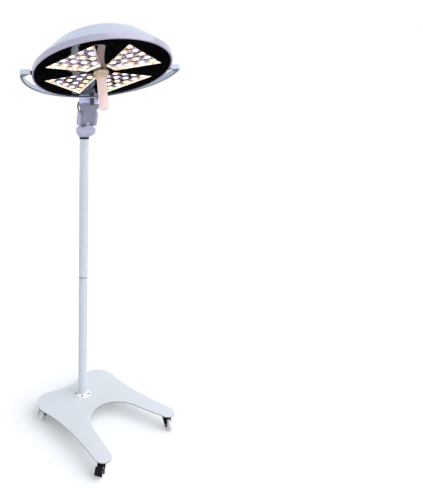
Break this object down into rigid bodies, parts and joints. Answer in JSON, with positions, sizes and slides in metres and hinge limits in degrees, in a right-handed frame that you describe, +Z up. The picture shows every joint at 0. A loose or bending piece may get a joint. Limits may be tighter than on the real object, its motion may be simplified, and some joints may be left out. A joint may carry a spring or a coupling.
{
  "type": "surgical light",
  "caption": "Mobile surgical light: a round domed LED head with a centre handle tilts in a half-ring yoke on a jointed knuckle, on a pole and a flat two-legged base with swivel castors.",
  "frame": {"origin": "on the floor, in the middle of the floor area that the whole light covers", "axes": "+Z is up along the pole; -Y is the way the two legs of the base point; +X is to the right for someone who faces the light from its two legs"},
  "size_m": [0.7066, 0.6817, 1.8345],
  "materials": {
    "base_paint": "powder coat, bluish white, satin",
    "pole_paint": "powder coat, pale blue grey, semi-gloss",
    "knuckle_paint": "paint over a casting, lavender grey, satin",
    "arm_paint": "paint over a casting, mid grey, satin",
    "yoke_paint": "powder coat, pale blue grey, semi-gloss",
    "dome_gloss": "moulded shell, lavender white, high gloss",
    "band_gloss": "moulded rim, pinkish grey, high gloss",
    "panel_black": "mirror-gloss black",
    "board_white": "off-white circuit board",
    "lens_clear": "clear moulded lenses, lit from behind",
    "handle_white": "pinkish white, satin",
    "hub_cream": "cream, satin",
    "black_plastic": "black nylon, satin",
    "grey_plastic": "dark grey, matt",
    "tyre": "pale grey tread",
    "rubber": "dark blue black, matt",
    "steel": "bright zinc plated",
    "aluminium": "mill finish"
  },
  "bodies": {
    "stand": {"base_plate": "base_paint", "pole_flange": "pole_paint", "flange_bolt_1": "steel", "flange_bolt_2": "steel", "flange_bolt_3": "steel", "flange_bolt_4": "steel", "flange_bolt_5": "steel", "castor_front_left_plate": "steel", "castor_front_right_plate": "steel", "castor_rear_left_plate": "steel", "castor_rear_right_plate": "steel", "lower_pole": "pole_paint", "pole_joint_ring": "rubber", "pole_joint_stud": "steel", "upper_pole": "pole_paint", "swivel_spigot": "rubber", "power_inlet": "grey_plastic"},
    "knuckle": {"swivel_housing": "knuckle_paint", "tension_screw": "steel", "arm_hinge_pin": "steel"},
    "arm": {"arm_body": "arm_paint", "arm_cover_left": "knuckle_paint", "arm_cover_right": "knuckle_paint", "arm_lead": "rubber"},
    "yoke": {"yoke_block": "yoke_paint", "yoke_ring": "yoke_paint", "head_lead": "rubber"},
    "dimmer": {"dimmer_knob": "grey_plastic"},
    "head": {"dome_shell": "dome_gloss", "rim_band": "band_gloss", "rim_gasket": "rubber", "chassis_plate": "aluminium", "led_driver": "aluminium", "pivot_pin_left": "steel", "pivot_pin_right": "steel", "face_panel": "panel_black", "led_board_1": "board_white", "led_board_2": "board_white", "led_board_3": "board_white", "led_board_4": "board_white", "lens_array_1": "lens_clear", "lens_array_2": "lens_clear", "lens_array_3": "lens_clear", "lens_array_4": "lens_clear", "handle_hub": "hub_cream"},
    "handle": {"handle_sleeve": "handle_white"},
    "castor_front_left": {"castor_front_left_fork": "black_plastic", "castor_front_left_axle": "steel"},
    "wheel_front_left": {"castor_front_left_wheel": "tyre"},
    "brake_front_left": {"castor_front_left_brake": "black_plastic"},
    "castor_front_right": {"castor_front_right_fork": "black_plastic", "castor_front_right_axle": "steel"},
    "wheel_front_right": {"castor_front_right_wheel": "tyre"},
    "castor_rear_left": {"castor_rear_left_fork": "black_plastic", "castor_rear_left_axle": "steel"},
    "wheel_rear_left": {"castor_rear_left_wheel": "tyre"},
    "castor_rear_right": {"castor_rear_right_fork": "black_plastic", "castor_rear_right_axle": "steel"},
    "wheel_rear_right": {"castor_rear_right_wheel": "tyre"},
    "brake_rear_right": {"castor_rear_right_brake": "black_plastic"}
  },
  "joints": [
    {"name": "knuckle_swivel", "type": "hinge", "parent": "stand", "child": "knuckle", "pos_m": [0.084, 0.1965, 1.4485], "axis": [0, 0, 1], "range_deg": [-170, 170]},
    {"name": "arm_tilt", "type": "hinge", "parent": "knuckle", "child": "arm", "pos_m": [0.06794, 0.16206, 1.5185], "axis": [0.9063, -0.4226, 0], "range_deg": [-20, 20]},
    {"name": "yoke_swivel", "type": "hinge", "parent": "arm", "child": "yoke", "pos_m": [0.05864, 0.14212, 1.591], "axis": [-0.032, 0.0211, 0.9993], "range_deg": [-25, 15], "deforming": ["arm_lead"]},
    {"name": "dimmer_turn", "type": "hinge", "parent": "yoke", "child": "dimmer", "pos_m": [0.04452, 0.10436, 1.59135], "axis": [-0.032, 0.0211, 0.9993], "range_deg": [0, 300]},
    {"name": "head_tilt", "type": "hinge", "parent": "yoke", "child": "head", "pos_m": [-0.10462, -0.09807, 1.69712], "axis": [0.8342, -0.5501, 0.0384], "range_deg": [-73, 62]},
    {"name": "handle_pull", "type": "slide", "parent": "head", "child": "handle", "axis": [-0.134, -0.2698, -0.9535], "range_m": [0, 0.09]},
    {"name": "castor_front_left_swivel", "type": "hinge", "parent": "stand", "child": "castor_front_left", "pos_m": [-0.144, -0.1895, 0.075], "axis": [0, 0, 1], "continuous": true},
    {"name": "wheel_front_left_spin", "type": "hinge", "parent": "castor_front_left", "child": "wheel_front_left", "pos_m": [-0.16607, -0.20124, 0.028], "axis": [-0.4695, 0.8829, 0], "continuous": true},
    {"name": "brake_front_left_press", "type": "hinge", "parent": "castor_front_left", "child": "brake_front_left", "pos_m": [-0.15106, -0.19326, 0.0625], "axis": [-0.4695, 0.8829, 0], "range_deg": [-5, 0]},
    {"name": "castor_front_right_swivel", "type": "hinge", "parent": "stand", "child": "castor_front_right", "pos_m": [0.312, -0.1895, 0.075], "axis": [0, 0, 1], "continuous": true},
    {"name": "wheel_front_right_spin", "type": "hinge", "parent": "castor_front_right", "child": "wheel_front_right", "pos_m": [0.30595, -0.21376, 0.028], "axis": [-0.9703, 0.2419, 0], "continuous": true},
    {"name": "castor_rear_left_swivel", "type": "hinge", "parent": "stand", "child": "castor_rear_left", "pos_m": [-0.118, 0.2785, 0.075], "axis": [0, 0, 1], "continuous": true},
    {"name": "wheel_rear_left_spin", "type": "hinge", "parent": "castor_rear_left", "child": "wheel_rear_left", "pos_m": [-0.13848, 0.26416, 0.028], "axis": [-0.5736, 0.8192, 0], "continuous": true},
    {"name": "castor_rear_right_swivel", "type": "hinge", "parent": "stand", "child": "castor_rear_right", "pos_m": [0.286, 0.2785, 0.075], "axis": [0, 0, 1], "continuous": true},
    {"name": "wheel_rear_right_spin", "type": "hinge", "parent": "castor_rear_right", "child": "wheel_rear_right", "pos_m": [0.2985, 0.30015, 0.028], "axis": [0.866, -0.5, 0], "continuous": true},
    {"name": "brake_rear_right_press", "type": "hinge", "parent": "castor_rear_right", "child": "brake_rear_right", "pos_m": [0.29, 0.28543, 0.0625], "axis": [0.866, -0.5, 0], "range_deg": [-5, 0]}
  ]
}
